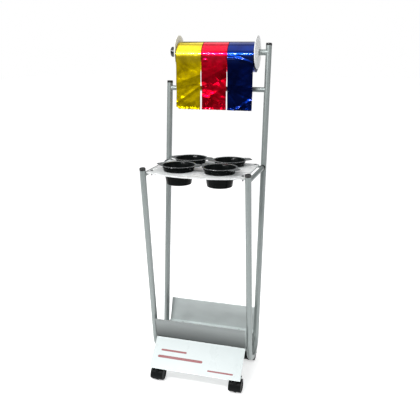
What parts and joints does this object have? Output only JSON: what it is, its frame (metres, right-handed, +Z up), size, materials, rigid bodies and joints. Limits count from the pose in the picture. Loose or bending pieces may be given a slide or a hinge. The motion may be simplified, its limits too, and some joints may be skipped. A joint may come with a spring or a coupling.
{
  "type": "hair foil trolley",
  "caption": "Castor stand for hair foil: two bent-tube side frames, a cantilever arm with foil rolls, a clear tray with tint bowls, and a folded steel base with a trough.",
  "frame": {"origin": "on the floor under the centre of the whole object", "axes": "+Z up, +X along the foil arm towards its fixed end, -Y towards the user"},
  "size_m": [0.4072, 0.4154, 1.311],
  "materials": {
    "tube": "satin silver powder coat",
    "sheet": "satin silver powder coat",
    "sign": "gloss white",
    "tray": "clear, lightly frosted",
    "bowl": "smoky black, translucent",
    "cap": "gloss black",
    "castor": "semi-matte black",
    "disc": "matte white",
    "card": "matte card",
    "foil_gold": "metallised gold foil",
    "foil_red": "metallised red foil",
    "foil_blue": "metallised dark blue foil",
    "screw": "satin",
    "nut": "zinc plated"
  },
  "bodies": {
    "stand": {"side_frame_left": "tube", "side_frame_right": "tube", "cap_front_left": "cap", "cap_front_right": "cap", "cap_back_left": "cap", "cap_back_right": "cap", "tray_rail_left": "tube", "tray_rail_right": "tube", "upper_crossbar": "tube", "base_tie_front": "tube", "base_tie_rear": "tube", "roller_arm": "tube", "disc_right": "disc", "disc_grub_screw": "screw", "foil_tail_gold": "foil_gold", "foil_tail_red": "foil_red", "foil_tail_blue": "foil_blue", "tray": "tray", "tray_screws": "screw", "tray_nuts": "nut", "trough": "sheet", "base_shell": "sheet", "sign_panel": "sign", "base_screws": "screw", "castor_nuts": "nut", "castor_stem_front_left": "nut", "castor_stem_front_right": "nut", "castor_stem_rear_left": "nut", "castor_stem_rear_right": "nut"},
    "end_knob": {"end_knob": "cap"},
    "left_disc": {"disc_left": "disc"},
    "roll_gold": {"foil_core_gold": "card", "foil_roll_gold": "foil_gold"},
    "roll_red": {"foil_core_red": "card", "foil_roll_red": "foil_red"},
    "roll_blue": {"foil_core_blue": "card", "foil_roll_blue": "foil_blue"},
    "bowl_front_left": {"bowl_front_left": "bowl"},
    "bowl_front_right": {"bowl_front_right": "bowl"},
    "bowl_back_left": {"bowl_back_left": "bowl"},
    "bowl_back_right": {"bowl_back_right": "bowl"},
    "castor_front_left": {"castor_fork_front_left": "castor", "castor_axle_front_left": "nut"},
    "wheels_front_left": {"wheel_front_left_inner": "castor", "wheel_front_left_outer": "castor"},
    "castor_front_right": {"castor_fork_front_right": "castor", "castor_axle_front_right": "nut"},
    "wheels_front_right": {"wheel_front_right_inner": "castor", "wheel_front_right_outer": "castor"},
    "castor_rear_left": {"castor_fork_rear_left": "castor", "castor_axle_rear_left": "nut"},
    "wheels_rear_left": {"wheel_rear_left_inner": "castor", "wheel_rear_left_outer": "castor"},
    "castor_rear_right": {"castor_fork_rear_right": "castor", "castor_axle_rear_right": "nut"},
    "wheels_rear_right": {"wheel_rear_right_inner": "castor", "wheel_rear_right_outer": "castor"}
  },
  "joints": [
    {"name": "roll_gold_spin", "type": "hinge", "parent": "stand", "child": "roll_gold", "pos_m": [0, 0.14675, 1.2323], "axis": [1, 0, 0], "continuous": true},
    {"name": "roll_red_spin", "type": "hinge", "parent": "stand", "child": "roll_red", "pos_m": [0, 0.14675, 1.2323], "axis": [1, 0, 0], "continuous": true},
    {"name": "roll_blue_spin", "type": "hinge", "parent": "stand", "child": "roll_blue", "pos_m": [0, 0.14675, 1.2323], "axis": [1, 0, 0], "continuous": true},
    {"name": "left_disc_spin", "type": "hinge", "parent": "stand", "child": "left_disc", "pos_m": [-0.156, 0.14675, 1.25], "axis": [1, 0, 0], "continuous": true},
    {"name": "end_knob_pull", "type": "slide", "parent": "stand", "child": "end_knob", "axis": [-1, 0, 0], "range_m": [0, 0.06]},
    {"name": "bowl_front_left_lift", "type": "slide", "parent": "stand", "child": "bowl_front_left", "axis": [0, 0, 1], "range_m": [0, 0.12]},
    {"name": "bowl_front_right_lift", "type": "slide", "parent": "stand", "child": "bowl_front_right", "axis": [0, 0, 1], "range_m": [0, 0.12]},
    {"name": "bowl_back_left_lift", "type": "slide", "parent": "stand", "child": "bowl_back_left", "axis": [0, 0, 1], "range_m": [0, 0.12]},
    {"name": "bowl_back_right_lift", "type": "slide", "parent": "stand", "child": "bowl_back_right", "axis": [0, 0, 1], "range_m": [0, 0.12]},
    {"name": "castor_front_left_swivel", "type": "hinge", "parent": "stand", "child": "castor_front_left", "pos_m": [-0.157, -0.163, 0.055], "axis": [0, 0, 1], "continuous": true},
    {"name": "wheels_front_left_roll", "type": "hinge", "parent": "castor_front_left", "child": "wheels_front_left", "pos_m": [-0.157, -0.146, 0.025], "axis": [1, 0, 0], "continuous": true},
    {"name": "castor_front_right_swivel", "type": "hinge", "parent": "stand", "child": "castor_front_right", "pos_m": [0.157, -0.163, 0.055], "axis": [0, 0, 1], "continuous": true},
    {"name": "wheels_front_right_roll", "type": "hinge", "parent": "castor_front_right", "child": "wheels_front_right", "pos_m": [0.157, -0.146, 0.025], "axis": [1, 0, 0], "continuous": true},
    {"name": "castor_rear_left_swivel", "type": "hinge", "parent": "stand", "child": "castor_rear_left", "pos_m": [-0.157, 0.119, 0.055], "axis": [0, 0, 1], "continuous": true},
    {"name": "wheels_rear_left_roll", "type": "hinge", "parent": "castor_rear_left", "child": "wheels_rear_left", "pos_m": [-0.157, 0.102, 0.025], "axis": [1, 0, 0], "continuous": true},
    {"name": "castor_rear_right_swivel", "type": "hinge", "parent": "stand", "child": "castor_rear_right", "pos_m": [0.157, 0.119, 0.055], "axis": [0, 0, 1], "continuous": true},
    {"name": "wheels_rear_right_roll", "type": "hinge", "parent": "castor_rear_right", "child": "wheels_rear_right", "pos_m": [0.157, 0.102, 0.025], "axis": [1, 0, 0], "continuous": true}
  ]
}
